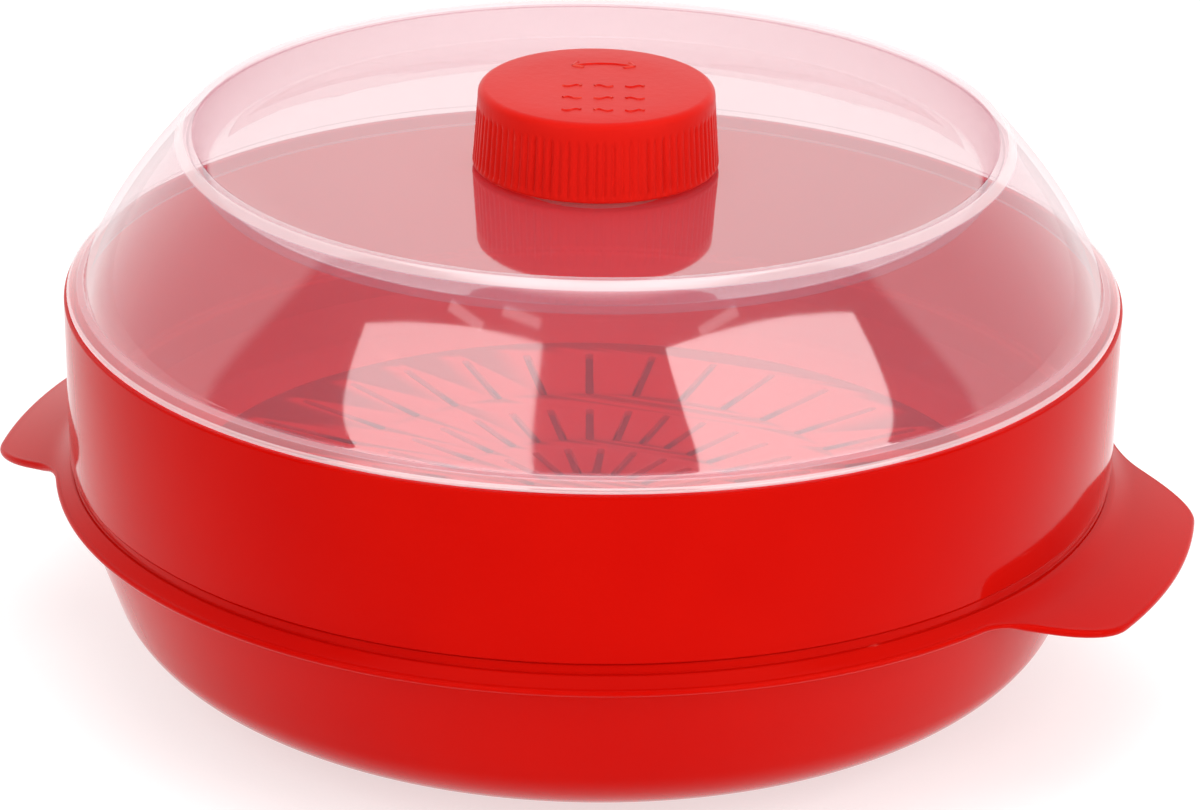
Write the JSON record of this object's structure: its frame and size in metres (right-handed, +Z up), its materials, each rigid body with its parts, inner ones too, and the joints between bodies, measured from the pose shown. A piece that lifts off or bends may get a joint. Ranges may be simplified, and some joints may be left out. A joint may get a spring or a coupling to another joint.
{
  "type": "microwave popcorn maker",
  "caption": "Microwave popcorn maker: plastic bowl with side ears, nesting tray with a slotted floor, clear domed lid with a recessed top, and a ribbed turning vent knob.",
  "frame": {"origin": "centre of the footprint, on the surface the bowl stands on", "axes": "+X along the two ears, +Z up along the axis of the vessel, lid and knob, +Y completes the frame"},
  "size_m": [0.278, 0.2458, 0.1384],
  "materials": {
    "red_plastic": "high gloss injection moulded",
    "knob_plastic": "semi-gloss, ribbed grip",
    "clear_plastic": "clear, very slightly milky, high gloss",
    "milky_plastic": "natural translucent, satin",
    "silicone": "matte"
  },
  "bodies": {
    "base": {"base_bowl": "red_plastic"},
    "tray": {"popping_tray": "red_plastic"},
    "lid": {"domed_lid": "clear_plastic"},
    "knob": {"vent_knob": "knob_plastic", "knob_washer": "silicone", "vent_shutter": "milky_plastic", "knob_clip": "milky_plastic"}
  },
  "joints": [
    {"name": "tray_lift", "type": "slide", "parent": "base", "child": "tray", "axis": [0, 0, 1], "range_m": [0, 0.06]},
    {"name": "lid_lift", "type": "slide", "parent": "tray", "child": "lid", "axis": [0, 0, 1], "range_m": [0, 0.06]},
    {"name": "vent_turn", "type": "hinge", "parent": "lid", "child": "knob", "pos_m": [0, 0, 0.119], "axis": [0, 0, 1], "range_deg": [0, 45]}
  ]
}
